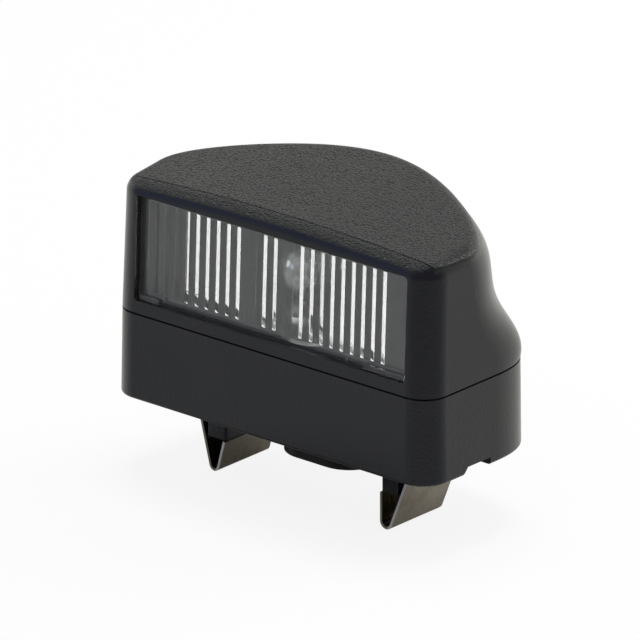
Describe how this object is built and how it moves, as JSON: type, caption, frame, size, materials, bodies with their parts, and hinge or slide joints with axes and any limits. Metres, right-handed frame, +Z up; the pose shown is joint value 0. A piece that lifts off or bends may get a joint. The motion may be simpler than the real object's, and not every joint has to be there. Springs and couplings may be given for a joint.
{
  "type": "number plate lamp",
  "caption": "Clip-in number plate lamp: a black base and a hood with drawn-in rear shoulders, a clear fluted window over an upright bayonet bulb, sprung steel clips and a plug socket below.",
  "frame": {"origin": "middle of the base's seating rim, in the plane that lies on the panel", "axes": "+X along the lamp's width, +Y away from the window, +Z up out of the panel"},
  "size_m": [0.085, 0.04, 0.0678],
  "materials": {
    "black_moulding": "satin, with a fine leather grain on the roof",
    "clear_lens": "clear, fluted on its inner face",
    "gasket": "matt",
    "spring_steel": "bright rolled strip with cut edges",
    "plated_steel": "bright plating",
    "brass_strip": "satin",
    "insulating_board": "pressed board",
    "bulb_glass": "clear, thin",
    "tungsten": "dull grey wire",
    "cap_glass": "black vitrite",
    "solder": "dull solder"
  },
  "bodies": {
    "root": {"base_housing": "black_moulding", "hood_seal": "gasket", "hood_cover": "black_moulding", "hood_screws": "plated_steel", "lens_seal": "gasket", "lens": "clear_lens", "spring_clip_left": "spring_steel", "spring_clip_right": "spring_steel", "terminal_live": "brass_strip", "terminal_earth": "brass_strip", "holder_shell": "plated_steel", "holder_rivets": "plated_steel", "holder_insulator": "insulating_board", "centre_contact": "brass_strip", "bulb_glass": "bulb_glass", "bulb_stem": "bulb_glass", "bulb_filament": "tungsten", "bulb_cap": "plated_steel", "bulb_plug": "cap_glass", "bulb_contact": "solder"}
  },
  "joints": []
}
